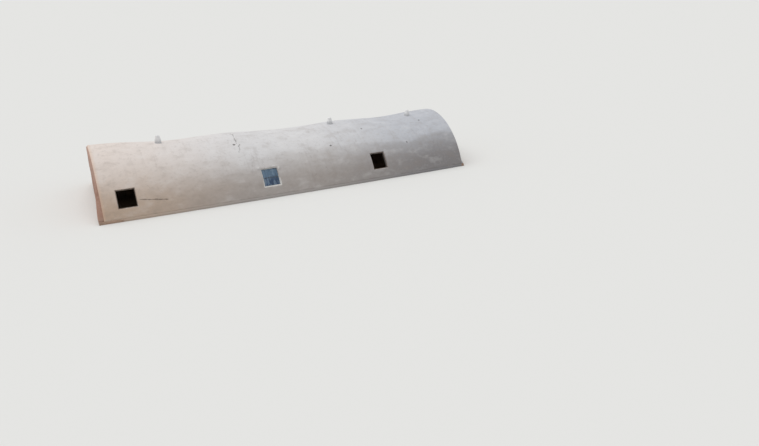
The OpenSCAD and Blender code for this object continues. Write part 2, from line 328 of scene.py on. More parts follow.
def tint(tree, share, a, b):
    """Two colours mixed by a share"""
    node = add(tree, "ShaderNodeMix", {"data_type": "RGBA"})
    plug(tree, node.inputs[0], share)
    plug(tree, node.inputs[6], a)
    plug(tree, node.inputs[7], b)
    return node.outputs[2]


def lay_on(tree, colour, coat, value, low, high, share=1.0):
    """Lays a coat over a colour, up to a share of it, as a value goes from low to high"""
    return tint(tree, rise(tree, value, low, high, 0, share), colour, coat)


def wander(tree, place, scale, detail=4.0, roughness=0.55):
    """Soft random value about a half, at a scale per metre"""
    return add(tree, "ShaderNodeTexNoise", Vector=place, Scale=scale, Detail=detail,
               Roughness=roughness).outputs["Fac"]


def sway(tree, place, scale, detail, roughness, reach):
    """The place, pushed about by soft random steps of up to half a reach each way"""
    soft = add(tree, "ShaderNodeTexNoise", Vector=place, Scale=scale, Detail=detail, Roughness=roughness)
    step = vector_calc(tree, "SUBTRACT", soft.outputs["Color"], (0.5, 0.5, 0.5))
    scaled = add(tree, "ShaderNodeVectorMath", {"operation": "SCALE"}, Scale=reach)
    plug(tree, scaled.inputs[0], step)
    return vector_calc(tree, "ADD", place, scaled.outputs[0])


def axes_of(tree, place):
    return add(tree, "ShaderNodeSeparateXYZ", Vector=place).outputs


def object_place(tree):
    """The place on the object in metres"""
    return add(tree, "ShaderNodeTexCoord").outputs["Object"]


def stored(tree, name):
    """A value that the mesh keeps for each of its points"""
    return add(tree, "ShaderNodeAttribute", {"attribute_name": name}).outputs["Fac"]


def effect(name, inputs, outputs):
    """A shader group, its inputs given with their usual values and its outputs plain values.
    Returns it with the sockets that it is given and those that it puts out."""
    group = bpy.data.node_groups.new(name, "ShaderNodeTree")
    for label, value in inputs.items():
        kind = "NodeSocketVector" if isinstance(value, tuple) else "NodeSocketFloat"
        socket = group.interface.new_socket(label, in_out="INPUT", socket_type=kind)
        socket.default_value = value
    for label in outputs:
        group.interface.new_socket(label, in_out="OUTPUT", socket_type="NodeSocketFloat")
    return group, group.nodes.new("NodeGroupInput").outputs, group.nodes.new("NodeGroupOutput").inputs


def use(tree, group, **inputs):
    """What a shader group puts out with the values given here"""
    return add(tree, "ShaderNodeGroup", {"node_tree": group}, **inputs).outputs


def new_finish(name, roughness=0.9, specular=0.3):
    """A material with its shader, and the place on the object in metres"""
    finish = bpy.data.materials.new(name)
    finish.use_nodes = True
    tree = finish.node_tree
    shader = tree.nodes["Principled BSDF"]
    shader.inputs["Roughness"].default_value = roughness
    shader.inputs["Specular IOR Level"].default_value = specular
    return finish, tree, shader, object_place(tree)


def surface(tree, shader, colour, height, depth, strength):
    """Gives a shader its colour, and a bump of a height from 0 to 1 over a depth in metres"""
    plug(tree, shader.inputs["Base Color"], colour)
    bump = add(tree, "ShaderNodeBump", Height=height, Distance=depth, Strength=strength)
    plug(tree, shader.inputs["Normal"], bump.outputs[0])


# Hand-laid earth: broad patches of the mix, passes of the trowel, and sand
earth_grain, given, put_out = effect(
    "hand_laid_earth", {"Patches": 1.2, "Passes": 9.0, "Sand": 140.0}, ["Patch", "Pass", "Height"])
place = object_place(earth_grain)
patch = wander(earth_grain, place, given["Patches"], 6, 0.6)
passes = wander(earth_grain, stretch(earth_grain, place, (1, 0.7, 1.6)), given["Passes"], 5, 0.62)
sand = wander(earth_grain, place, given["Sand"], 3, 0.7)
height = calc(earth_grain, "MULTIPLY_ADD", passes, 0.75, times(earth_grain, sand, 0.25))
for label, value in (("Patch", patch), ("Pass", passes), ("Height", height)):
    plug(earth_grain, put_out[label], value)

# Rain streaks: narrow across the fall of the water and long down it. X of the place
# given runs across the streaks.
rain_streaks, given, put_out = effect("rain_streaks", {"Place": (0, 0, 0), "Width": 5.0}, ["Mask"])
drawn_down = stretch(rain_streaks, given["Place"], (1, 0.07, 0.07))
narrow = rise(rain_streaks, wander(rain_streaks, drawn_down, given["Width"], 5, 0.65), 0.5, 0.68)
gathered = rise(rain_streaks, wander(rain_streaks, given["Place"], 0.45, 2), 0.42, 0.62)
plug(rain_streaks, put_out["Mask"], times(rain_streaks, narrow, gathered))

# Dark mark: a small hollow or stain with a ragged edge
dark_mark, given, put_out = effect("dark_mark", {"Middle": (0, 0, 0), "Radius": 0.05}, ["Mask"])
place = object_place(dark_mark)
off_middle = vector_calc(dark_mark, "DISTANCE", place, given["Middle"])
ragged = calc(dark_mark, "MULTIPLY_ADD", wander(dark_mark, place, 22, 3), 0.09, off_middle)
edge = calc(dark_mark, "ADD", given["Radius"], 0.045)
within = calc(dark_mark, "SUBTRACT", edge, ragged)
plug(dark_mark, put_out["Mask"], rise(dark_mark, within, -0.012, 0.012))

# Crack: a wandering line over the shell from one point to another, cut in square to the
# face, so that it follows the curve
crack, given, put_out = effect(
    "crack", {"From": (0, 0, 0), "To": (1, 0, 0), "Width": 0.006, "Sway": 0.3}, ["Mask"])
place = object_place(crack)
reach = vector_calc(crack, "SUBTRACT", given["To"], given["From"])
leg = vector_calc(crack, "SUBTRACT", sway(crack, place, 4.0, 5.0, 0.62, given["Sway"]), given["From"])
along = calc(crack, "DIVIDE", vector_calc(crack, "DOT_PRODUCT", leg, reach),
             vector_calc(crack, "DOT_PRODUCT", reach, reach))
outward = stretch(crack, vector_calc(crack, "ADD", given["From"], given["To"]), (0, 1, 1))
across = vector_calc(crack, "NORMALIZE", vector_calc(crack, "CROSS_PRODUCT", reach, outward))
off_line = calc(crack, "ABSOLUTE", vector_calc(crack, "DOT_PRODUCT", leg, across))
opened = times(crack, given["Width"], rise(crack, wander(crack, place, 6, 2), 0.35, 0.65, 0.5, 1.4))
line = rise(crack, calc(crack, "DIVIDE", off_line, opened), 0.5, 1.5, 1, 0)
ends = times(crack, rise(crack, along, -0.03, 0.05), rise(crack, along, 1.03, 0.95))
plug(crack, put_out["Mask"], times(crack, line, ends))

# Craze: a net of hairline cracks, open in some places only
craze, given, put_out = effect("craze", {"Cells": 1.6, "Width": 0.004}, ["Mask"])
place = object_place(craze)
cells = add(craze, "ShaderNodeTexVoronoi", {"feature": "DISTANCE_TO_EDGE"},
            Vector=sway(craze, place, 3.5, 6.0, 0.65, 0.5), Scale=given["Cells"])
off_line = calc(craze, "DIVIDE", cells.outputs["Distance"], given["Width"])
net = rise(craze, off_line, 0.4, 1.6, 1, 0)
open_here = rise(craze, wander(craze, place, 0.7, 3), 0.52, 0.62)
plug(craze, put_out["Mask"], times(craze, net, open_here))

# Lime and earth plaster: paler on the crown, warmer to the left and greyer to the right,
# darker down the haunches to the foot, partly bleaching and damp and partly painted shade
# of light from above, with streaks, cracks and pits
# The crown tones are paler and the foot tones darker partly as painted shade of light from above
crown_tones = paint(230, 219, 212), paint(220, 219, 220), paint(193, 196, 203)
foot_tones = paint(196, 174, 155), paint(174, 167, 163), paint(140, 137, 138)
plaster_bleached = paint(248, 247, 247)
plaster_dust = paint(206, 196, 188)
plaster_damp = paint(150, 138, 128)
mark_dark = paint(62, 54, 48)
# Pale lime along the window edges; the same tone is the painted highlight on the tops of the lumps
pale_lime_and_highlight = paint(222, 220, 218)
# Painted warm highlight along the rounded edge of the left rim
rim_highlight_tone = paint(218, 184, 158)

# Cracks, each with its two ends, width and sway, and dark marks with their radius
cracks = [((-2.47, 0.13, 2.32), (-2.53, -1.09, 2.13), 0.013, 0.3),
          ((-2.42, -1.15, 2.12), (-2.62, -1.7, 1.88), 0.009, 0.3),
          ((-7.24, -2.81, 0.76), (-6.1, -2.89, 0.61), 0.02, 0.05),
          ((1.2, 1.1, 2.1), (1.5, 2.4, 1.3), 0.008, 0.3),
          ((-5.2, 0.9, 2.2), (-4.9, 2.3, 1.3), 0.009, 0.3)]
dark_marks = [((-2.69, -1.16, 2.11), 0.06), ((1.80, -1.86, 1.69), 0.045), ((3.85, -1.06, 2.10), 0.04),
              ((7.25, -0.97, 2.16), 0.045), ((5.86, -2.17, 1.44), 0.04), ((4.6, 1.7, 1.8), 0.04),
              ((-3.4, 2.0, 1.55), 0.05)]

# The plaster pales up the wall from a low to a high level, partly a real change of tone and
# partly painted shade of light from above. A share of this comes at one wavy line along the
# right half, a painted edge between the lit crown and the shaded haunch. Each change along
# the house is where it starts and ends, and its two values.
washed_and_lit_low = (-6.0, 0.0, 0.4, 0.6)
washed_and_lit_high = (-6.0, 0.0, 2.3, 1.9)
lit_edge_shares = (-1.5, 1.0, 0.0, 0.27), (8.0, 9.4, 0.0, 0.2)
lit_edge_heights = (3.2, 6.2, 1.66, 1.5), (7.2, 9.2, 0.0, 0.19)
lit_edge_blur = 0.1
left_tone_span = (-0.5, -8.0)
right_tone_span = (0.5, 8.5)


def along_house(tree, x, tones):
    """Three tones, at the left end, the middle and the right end"""
    left, middle, right = tones
    return lay_on(tree, lay_on(tree, middle, left, x, *left_tone_span), right, x, *right_tone_span)


plaster, tree, shader, place = new_finish("lime_plaster")
grain = use(tree, earth_grain, Patches=0.8, Passes=6.0, Sand=130.0)
axes = axes_of(tree, place)
x = calc(tree, "MULTIPLY_ADD", grain["Patch"], 2.0, axes["X"])
waves = calc(tree, "SUBTRACT", grain["Patch"], 0.5)
wavy_height = calc(tree, "MULTIPLY_ADD", waves, 0.4, axes["Z"])
# Share of the crown's tone up the wall: partly a real change of tone, partly painted shade of light from
# above
washed_and_lit = rise(tree, wavy_height, rise(tree, x, *washed_and_lit_low), rise(tree, x, *washed_and_lit_high))
lit_edge_share = calc(tree, "ADD", *(rise(tree, x, *change) for change in lit_edge_shares))
lit_edge_height = calc(tree, "ADD", *(rise(tree, x, *change) for change in lit_edge_heights))
# Painted edge of the light at the wavy line: lighter above it, darker below it
above_lit_edge = rise(tree, calc(tree, "SUBTRACT", wavy_height, lit_edge_height), -lit_edge_blur, lit_edge_blur)
washed_and_lit = times(tree, washed_and_lit, calc(tree, "SUBTRACT", 1.0, lit_edge_share))
washed_and_lit = calc(tree, "ADD", washed_and_lit, times(tree, lit_edge_share, above_lit_edge))
colour = tint(tree, washed_and_lit, along_house(tree, x, foot_tones), along_house(tree, x, crown_tones))
colour = lay_on(tree, colour, plaster_dust, grain["Pass"], 0.5, 0.68, 0.12)
colour = lay_on(tree, colour, plaster_damp, grain["Pass"], 0.5, 0.34, 0.15)
mottle = wander(tree, stretch(tree, place, (0.7, 1, 1.5)), 2.2)
colour = lay_on(tree, colour, plaster_bleached, mottle, 0.5, 0.72, 0.14)
colour = lay_on(tree, colour, plaster_damp, mottle, 0.5, 0.28, 0.2)
streaks = use(tree, rain_streaks, Place=place, Width=5.5)["Mask"]
colour = tint(tree, times(tree, streaks, 0.14), colour, plaster_damp)
# Pale lime along the window edges, and the painted highlight on the lumps over the glazed window
pale_edge = calc(tree, "MULTIPLY_ADD", wander(tree, place, 7, 3), 0.9, stored(tree, "pale_edge"))
colour = lay_on(tree, colour, pale_lime_and_highlight, pale_edge, 0.75, 1.07, 0.85)
# Painted warm highlight along the left rim's rounded edge
colour = tint(tree, times(tree, stored(tree, "rim_highlight"), 0.5), colour, rim_highlight_tone)
pits = add(tree, "ShaderNodeTexVoronoi", Vector=place, Scale=9.0)
pitted_here = rise(tree, wander(tree, place, 2.6, 3), 0.5, 0.6)
pitted = times(tree, rise(tree, pits.outputs["Distance"], 0.16, 0.09), pitted_here)
hairlines = use(tree, craze, Cells=1.3, Width=0.0045)["Mask"]
dark = calc(tree, "MAXIMUM", times(tree, pitted, 0.2), times(tree, hairlines, 0.28))
for start, end, width, wandering in cracks:
    line = use(tree, crack, From=start, To=end, Width=width, Sway=wandering)["Mask"]
    dark = calc(tree, "MAXIMUM", dark, times(tree, line, 0.75))
for middle, radius in dark_marks:
    spot = use(tree, dark_mark, Middle=middle, Radius=radius)["Mask"]
    dark = calc(tree, "MAXIMUM", dark, spot)
colour = tint(tree, times(tree, dark, 0.75), colour, mark_dark)
surface(tree, shader, colour, calc(tree, "SUBTRACT", grain["Height"], dark), 0.02, 0.6)
plug(tree, shader.inputs["Roughness"], rise(tree, grain["Pass"], 0.3, 0.7, 0.8, 0.98))

# Mud coat of the room inside, darker and left rough
inside_dark = paint(112, 88, 68)
inside_light = paint(138, 112, 90)
inside_mud, tree, shader, _ = new_finish("inside_mud", 0.95)
grain = use(tree, earth_grain, Patches=1.5, Passes=6.0, Sand=90.0)
colour = lay_on(tree, inside_dark, inside_light, grain["Patch"], 0.35, 0.65)
surface(tree, shader, colour, grain["Height"], 0.02, 0.7)

# The sheet of the shell: windows are cut in it while it lies flat, it is given its
# thickness, the plaster's edges are rounded, and it is folded over the house
sheet_step = 0.078
edge_step = 0.03
edge_band = 0.09
lip_radius = 0.014
rim_radius = 0.04
lip_segments = 3
plaster_waves = [(2.3, 0.024), (0.9, 0.011), (0.35, 0.004)]
calm_foot = 0.8
rim_highlight_reach = 0.13
sill_y = sill_line - crest_line
head_y = head_line - crest_line
window_edges = []
for number in (1, 2, 3):
    low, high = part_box(f"front_window_frame_{number}")
    window_edges.append((low.x, high.x))

# Lime left pale along the sills and the lower part of the jambs, window by window
pale_edge_reach = 0.05
pale_edge_strength = (0.4, 0.9, 0.4)
pale_edge_top = sill_line * 0.6 + head_line * 0.4

# Plaster slumped over the upper right corner of the glazed front window, and lumps left
# over its head: each a place in the sheet and how far it reaches along and up. The lumps'
# tops are given a painted highlight.
frame_clear = 0.03
glazed_left, glazed_right = window_edges[1]
lumps = [(glazed_right - 0.12, head_y + 0.08, 0.19, 0.05),
         (glazed_right + 0.07, head_y - 0.02, 0.07, 0.09),
         (glazed_left - 0.08, head_y + 0.05, 0.07, 0.06)]
lump_height = 0.07
lump_highlight = 0.6
slump = Vector((-0.035, -0.05, 0))
slump_reach = 0.3
slump_fade = 3

marks_along = [rim_left]
for x0, x1 in window_edges:
    marks_along += [x0 - edge_band, x0, x0 + edge_band, x1 - edge_band, x1, x1 + edge_band]
marks_along.append(rim_right)
front_marks = [foot_line - crest_line]
for y in (sill_y, head_y):
    front_marks += [y - edge_band, y, y + edge_band]
marks_round = front_marks + [0.0] + [-y for y in reversed(front_marks)]
bm = flat_sheet(stations(marks_along, sheet_step, edge_step, edge_band),
                stations(marks_round, sheet_step, edge_step, edge_band))
for x0, x1 in window_edges:
    cut_out(bm, x0, x1, sill_y, head_y)
    cut_out(bm, x0, x1, -head_y, -sill_y)
thicken(bm, shell_t)


def on_rim(p):
    """Whether a point of the flat sheet lies on its left or right edge"""
    return not rim_left + finger < p.x < rim_right - finger


window_lips = outer_corners(bm, lambda m: not on_rim(m) and abs(m.y) < crest_line - finger)
round_edges(bm, window_lips, lip_radius, lip_segments)
round_edges(bm, outer_corners(bm, on_rim), rim_radius, lip_segments)

pale_layer = bm.verts.layers.float.new("pale_edge")
rim_highlight_layer = bm.verts.layers.float.new("rim_highlight")
for v in bm.verts:
    # Painted highlight along the left rim, fading in from its edge
    v[rim_highlight_layer] = max(0, 1 - (v.co.x - rim_left) / rim_highlight_reach)
    from_foot = crest_line - abs(v.co.y)
    for (x0, x1), strength in zip(window_edges, pale_edge_strength):
        off_x = max(x0 - v.co.x, v.co.x - x1, 0)
        off_y = max(sill_line - from_foot, from_foot - pale_edge_top, 0)
        limed = strength * (1 - math.hypot(off_x, off_y) / pale_edge_reach)
        v[pale_layer] = max(v[pale_layer], limed)
    out = unevenness(Vector((v.co.x, v.co.y, v.co.z * 2)), plaster_waves)
    out *= min(1, from_foot / calm_foot)
    if v.co.z > -frame_clear:
        for x, y, reach_x, reach_y in lumps:
            share = math.exp(-((v.co.x - x) / reach_x) ** 2 - ((v.co.y - y) / reach_y) ** 2)
            out += lump_height * share
            # Painted highlight on the top of the lump
            v[pale_layer] = max(v[pale_layer], lump_highlight * share)
        off = math.hypot(v.co.x - glazed_right, v.co.y - head_y) / slump_reach
        v.co += slump * math.exp(-slump_fade * off ** 2)
    v.co.z += out
fold(bm)
vault_nodes = [f"{side}_{part}_{n}" for side in SIDES for part, count in
               (("pier", 4), ("apron", 3), ("crown", 4)) for n in range(1, count + 1)]
make_piece("vault_shell", bm, [plaster, inside_mud], vault_nodes)


# End walls: mud brick and mud plaster, built inside the vault's section and smoothed by
# hand. The mud swells out at the front corner of the left one; the right one has a low
# flared foot and the doorway.
end_t = 0.3
corner_out = 0.23
corner_w = 2.15
corner_h = 1.9
batter_out = 0.11
batter_h = 0.45
wall_set_in = 0.035
wall_step = 0.07
arch_cuts = 60
arch_margin = 0.004
reveal_radius = 0.04
rounding_steps = 4
cut_inset = wall_set_in + reveal_radius
mud_coat = 0.012
left_coat = 0.06
skim_reach = 0.4
mud_waves = [(1.1, 0.016), (0.4, 0.008), (0.15, 0.003)]
door_low, door_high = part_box("door_frame")
door_half_w = door_high.y
door_head = door_high.z

# Mud plaster: streaked by rain, flecked with straw, paler high up and near the ground,
# with a skim of the vault's plaster where the wall keeps the value skim
mud_light = paint(179, 142, 126)
mud_deep = paint(154, 120, 105)
mud_pale = paint(200, 172, 160)
mud_damp = paint(188, 160, 144)
straw = paint(206, 184, 146)
mud, tree, shader, place = new_finish("mud_plaster", 0.95, 0.2)
grain = use(tree, earth_grain, Patches=1.6, Passes=11.0, Sand=110.0)
colour = lay_on(tree, mud_deep, mud_light, grain["Patch"], 0.36, 0.64)
colour = lay_on(tree, colour, mud_pale, grain["Pass"], 0.5, 0.7, 0.4)
turned = add(tree, "ShaderNodeMapping", Vector=place, Rotation=(0, 0, math.pi / 2)).outputs[0]
streaks = use(tree, rain_streaks, Place=turned, Width=6.0)["Mask"]
colour = tint(tree, times(tree, streaks, 0.5), colour, mud_deep)
chaff = add(tree, "ShaderNodeTexVoronoi", Vector=stretch(tree, place, (1, 1, 3.5)), Scale=38.0)
flecked_here = rise(tree, wander(tree, place, 30, 2), 0.5, 0.6)
flecks = times(tree, rise(tree, chaff.outputs["Distance"], 0.16, 0.1), flecked_here)
colour = tint(tree, times(tree, flecks, 0.6), colour, straw)
axes = axes_of(tree, place)
wavy_height = calc(tree, "MULTIPLY_ADD", grain["Patch"], 0.5, axes["Z"])
colour = lay_on(tree, colour, mud_pale, wavy_height, 1.2, 2.2, 0.45)
colour = lay_on(tree, colour, mud_damp, wavy_height, 0.75, 0.35, 0.65)
skim = calc(tree, "MULTIPLY_ADD", grain["Pass"], 0.6, stored(tree, "skim"))
skim_tone = tint(tree, grain["Patch"], foot_tones[2], crown_tones[2])
colour = lay_on(tree, colour, skim_tone, skim, 0.6, 0.85)
flecked_height = calc(tree, "MULTIPLY_ADD", flecks, 0.15, grain["Height"])
surface(tree, shader, colour, flecked_height, 0.02, 0.8)


def trim_to_arch(bm, x, inset):
    """Cuts a flat wall to the section of the vault, one chord at a time"""
    start = turn_at(x, footing_h, inset)
    turns = [start + (math.pi - 2 * start) * k / arch_cuts for k in range(arch_cuts + 1)]
    arch = [shell_point(x, turn, inset) for turn in turns]
    for a, b in zip(arch, arch[1:]):
        outward = Vector((a.z - b.z, b.y - a.y, 0))
        bmesh.ops.bisect_plane(bm, geom=bm.verts[:] + bm.edges[:] + bm.faces[:], dist=0.0005,
                               plane_co=(a.y, a.z, 0), plane_no=outward, clear_outer=True)


def round_to_arch(bm, x):
    """Draws the outer edge of a wall, cut a little small, out to the arch in a quarter round"""

    def arch_place(p):
        """Distance from the middle, 1 on the arch, and the turn, which goes on over the crest"""
        up = max(0, p.y / (crest_at(x) - cut_inset)) ** (1 / section_rise)
        out = -p.x / (half_width_at(x) - cut_inset)
        return math.hypot(up, out), math.atan2(up, out)

    deep_edges = []
    for e in bm.edges:
        a, b = (v.co for v in e.verts)
        if abs(a.z - b.z) > end_t - hair and abs(arch_place(a)[0] - 1) < arch_margin:
            deep_edges.append(e)
    bmesh.ops.subdivide_edges(bm, edges=deep_edges, cuts=rounding_steps)
    between = {v for v in bm.verts if -end_t + hair < v.co.z < -hair}
    neighbours = {e.other_vert(v) for v in between for e in v.link_edges}
    innermost = {v for v in neighbours if v.co.z < -end_t + hair}
    for v in between | innermost:
        step = round(-v.co.z / end_t * (rounding_steps + 1))
        angle = math.pi / 2 * min(1, step / rounding_steps)
        point = shell_point(x, arch_place(v.co)[1], wall_set_in + reveal_radius * (1 - math.sin(angle)))
        deep = end_t if step > rounding_steps else reveal_radius * (1 - math.cos(angle))
        v.co = (point.y, point.z, -deep)


def smooth_share(value):
    """A share held between 0 and 1, with a soft start and end"""
    value = max(0, min(1, value))
    return value * value * (3 - 2 * value)


def left_swelling(y, z):
    """How far the left wall's mud stands out: built up over the vault's edge, most at the
    foot of its front corner, and falling back towards the back corner"""
    near_corner = smooth_share(1 - (end_half_w + y) / corner_w)
    up = (z - footing_h) / (corner_h - footing_h)
    return corner_out * near_corner * max(0, 1 - up * up) + left_coat * (1 - near_corner) - fall_at(y)


def right_batter(_, z):
    """How far the right wall's foot flares out, which is alike all along it"""
    return batter_out * max(0, 1 - (z - footing_h) / (batter_h - footing_h)) ** 2


def end_wall(name, end, doorway, swelling, stands_for):
    """A wall that closes the vault, laid flat and stood up at its place"""
    door_y = [-door_half_w, door_half_w] if doorway else []
    door_z = [door_head] if doorway else []
    bm = flat_sheet(stations([-end_half_w] + door_y + [end_half_w], wall_step),
                    stations([footing_h] + door_z + [crest_at(end * half_l)], wall_step))
    if doorway:
        cut_out(bm, -door_half_w, door_half_w, 0, door_head)
    trim_to_arch(bm, end * half_l, cut_inset)
    thicken(bm, end_t)
    round_to_arch(bm, end * half_l)
    if doorway:
        reveal = outer_corners(bm, lambda m: abs(m.x) < door_half_w + finger
                               and footing_h + finger < m.y < door_head + finger)
        round_edges(bm, reveal, reveal_radius, rounding_steps)
    skim_layer = bm.verts.layers.float.new("skim")
    for v in bm.verts:
        if doorway:
            under_rim = outer_height(half_l, v.co.x) - v.co.y
            v[skim_layer] = max(0, 1 - max(0, under_rim) / skim_reach)
        near_face = 1 + v.co.z / end_t
        out = mud_coat + swelling(v.co.x, v.co.y)
        out += unevenness(Vector((v.co.x, v.co.y, 4.0 * end)), mud_waves)
        v.co = (end * (half_l + v.co.z + out * near_face), v.co.x, v.co.y)
    face_outwards(bm)
    make_piece(name, bm, [mud, inside_mud], stands_for)


end_wall("left_mud_wall", -1, False, left_swelling, ["left_end_wall", "left_end_batter"])
end_wall("right_mud_wall", 1, True, right_batter,
         ["right_end_front", "right_end_back", "right_end_over_door",
          "right_batter_front", "right_batter_back"])


# Footing: rammed earth and small stones in a strip under all the walls, skimmed outside
# with the plaster, which rain has splashed and worn through in places, most at the ends.
footing_in = 0.06
footing_step = 0.08
footing_radius = 0.003
footing_waves = [(0.9, 0.012), (0.25, 0.007)]
other_waves = Vector((0, 0, 9))
worn_left = (-7.4, -8.6)
worn_right = (8.6, 8.74)
foot_t = shell_t + footing_in
foot_right = half_l + batter_out
inner_x = half_l - end_t - footing_in
inner_y = end_half_w - foot_t

bare_dark = paint(162, 134, 116)
bare_light = paint(192, 163, 144)
stone_dark = paint(150, 132, 116)
stone_light = paint(186, 176, 166)
skimmed, tree, shader, place = new_finish("skimmed_footing", 0.95, 0.2)
grain = use(tree, earth_grain, Patches=1.7, Passes=13.0, Sand=90.0)
axes = axes_of(tree, place)
x = calc(tree, "MULTIPLY_ADD", grain["Patch"], 2.0, axes["X"])
skim_tone = tint(tree, 0.12, along_house(tree, x, foot_tones), along_house(tree, x, crown_tones))
stones = add(tree, "ShaderNodeTexVoronoi", Vector=place, Scale=26.0)
stone_tone = tint(tree, stones.outputs["Color"], stone_dark, stone_light)
pebbles = rise(tree, stones.outputs["Distance"], 0.42, 0.2)
bare_earth = lay_on(tree, bare_dark, bare_light, grain["Patch"], 0.35, 0.65)
bare_earth = tint(tree, times(tree, pebbles, 0.5), bare_earth, stone_tone)
near_left = rise(tree, axes["X"], *worn_left)
near_right = rise(tree, axes["X"], *worn_right)
near_ends = times(tree, calc(tree, "MAXIMUM", near_left, near_right), 0.5)
worn = rise(tree, calc(tree, "MULTIPLY_ADD", grain["Pass"], 0.9, near_ends), 0.62, 0.76)
stones_out = times(tree, times(tree, pebbles, worn), 0.6)
surface(tree, shader, tint(tree, worn, skim_tone, bare_earth),
        calc(tree, "ADD", grain["Height"], stones_out), 0.015, 0.9)


def footing_strip(name, along, across, put, stands_for):
    """A strip of footing, laid flat from its outer edge in and moved to its place by put"""
    bm = flat_sheet(stations(along, footing_step), stations(across, footing_step))
    bmesh.ops.solidify(bm, geom=bm.faces[:], thickness=footing_h)
    round_edges(bm, outer_corners(bm), footing_radius, 2)
    for v in bm.verts:
        v.co = put(v.co + Vector((0, 0, footing_h)))
        rough = 1 - v.co.z / footing_h
        v.co.x += unevenness(v.co, footing_waves) * rough
        v.co.y += unevenness(v.co + other_waves, footing_waves) * rough
    face_outwards(bm)
    make_piece(name, bm, [skimmed], stands_for)


def side_foot_point(p, side):
    """Moves a point of a side strip, laid from its outer edge in, to the foot of the vault.
    The skim leans in to the vault's face at the top."""
    ledge = half_width_at(p.x) + shell_point(p.x, turn_at(p.x, footing_h)).y
    lean = ledge * p.z / footing_h * (1 - p.y / foot_t)
    return Vector((p.x, side * (half_width_at(p.x) - p.y - lean), p.z))


def left_foot_point(p):
    """Moves a point of the left strip, laid from 0 inside to 1 outside, out to the wall's face"""
    outer = half_l + left_swelling(p.y, footing_h)
    return Vector((-(inner_x + (outer - inner_x) * p.x), p.y, p.z))


for side_name, side in SIDES.items():
    left_reach = corner_out if side == FRONT else left_swelling(inner_y, footing_h)
    footing_strip(f"{side_name}_foot", [-half_l - left_reach, foot_right], [0, foot_t],
                  lambda p, side=side: side_foot_point(p, side),
                  [f"{side_name}_footing"])
footing_strip("left_foot", [0, 1], [-inner_y, inner_y], left_foot_point, ["left_footing"])
for side_name, across in (("front", [-inner_y, -door_half_w]), ("back", [door_half_w, inner_y])):
    footing_strip(f"right_foot_{side_name}", [inner_x, foot_right], across, lambda p: p,
                  [f"right_footing_{side_name}"])


# Floor of the room: earth wetted and beaten flat inside the footing, burnished by feet
# and a little hollowed by use.
floor_t = 0.09
floor_step_along = 0.3
floor_step_across = 0.1
floor_waves = [(1.4, 0.006), (0.4, 0.003)]
floor_wear = 0.003

floor_dark = paint(122, 98, 78)
floor_light = paint(150, 126, 104)
beaten, tree, shader, _ = new_finish("beaten_earth", 0.93, 0.25)
grain = use(tree, earth_grain, Patches=1.1, Passes=8.0, Sand=120.0)
colour = lay_on(tree, floor_dark, floor_light, grain["Patch"], 0.35, 0.65)
surface(tree, shader, colour, grain["Height"], 0.01, 0.6)

bm = flat_sheet(stations([-inner_x, inner_x], floor_step_along), stations([-1, 1], floor_step_across))
bmesh.ops.solidify(bm, geom=bm.faces[:], thickness=floor_t)
for v in bm.verts:
    top = v.co.z > -floor_t / 2
    wear = unevenness(v.co, floor_waves) - floor_wear if top else 0
    v.co = (v.co.x, v.co.y * (half_width_at(v.co.x) - foot_t), v.co.z + floor_t + wear)
make_piece("beaten_floor", bm, [beaten], ["earth_floor"])


# Window frames: four thin planed bars set in the opening behind the plaster's edge,
# painted pale on the middle windows and bare weathered wood on the others. The middle
# windows have a bar across and two panes.
frame_bar = 0.028
frame_t = 0.04
frame_set_in = 0.045
bar_edge = 0.003
bar_cuts = 6
bar_waves = [(0.3, 0.004)]
bar_grain = {"Stretch": (12, 90, 90), "Fibres": 1.0, "Detail": 4.0}

# Wood: broad lines and fine fibres along the way that is stretched least
wood_grain, given, put_out = effect(
    "wood_grain", {"Stretch": (1, 1, 1), "Lines": 2.2, "Fibres": 12.0, "Detail": 3.0}, ["Line", "Fibre"])
place = stretch(wood_grain, object_place(wood_grain), given["Stretch"])
plug(wood_grain, put_out["Line"], wander(wood_grain, place, given["Lines"], 6, 0.6))
plug(wood_grain, put_out["Fibre"], wander(wood_grain, place, given["Fibres"], given["Detail"], 0.6))

# Pale paint, worn through to the wood, and smeared with plaster at an upper right corner
paint_dull = paint(206, 204, 198)
paint_clean = paint(226, 225, 219)
wood_under = paint(138, 126, 112)
smear = paint(168, 160, 155)
smear_height = (0.84, 0.92)
smear_span = ((glazed_left + glazed_right) / 2, glazed_right - 0.05)
painted_wood, tree, shader, place = new_finish("pale_painted_wood", 0.6, 0.4)
wear = wander(tree, place, 14, 6, 0.65)
fibres = use(tree, wood_grain, **bar_grain)["Fibre"]
colour = lay_on(tree, paint_dull, paint_clean, wear, 0.4, 0.62)
rubbed = calc(tree, "MULTIPLY_ADD", fibres, 0.4, wear)
colour = lay_on(tree, colour, wood_under, rubbed, 0.8, 0.9)
axes = axes_of(tree, place)
smeared = times(tree, rise(tree, axes["Z"], *smear_height),
                rise(tree, axes["X"], *smear_span))
surface(tree, shader, tint(tree, smeared, colour, smear), fibres, 0.002, 0.5)
plug(tree, shader.inputs["Roughness"], rise(tree, wear, 0.4, 0.7, 0.5, 0.8))


def bare_wood(name, dark, light):
    """Wood that has lost its paint and gone grey"""
    finish, tree, shader, _ = new_finish(name, 0.75, 0.3)
    fibres = use(tree, wood_grain, **bar_grain)["Fibre"]
    surface(tree, shader, lay_on(tree, dark, light, fibres, 0.35, 0.65), fibres, 0.002, 0.5)
    return finish


middle_bar_wood = bare_wood("dark_grey_wood", paint(70, 74, 80), paint(104, 108, 112))
open_window_wood = bare_wood("weathered_wood", paint(112, 98, 88), paint(160, 148, 138))


def join_in(bm, part):
    """Adds a finished part to a mesh"""
    mesh = bpy.data.meshes.new("part")
    part.to_mesh(mesh)
    part.free()
    bm.from_mesh(mesh)
    bpy.data.meshes.remove(mesh)


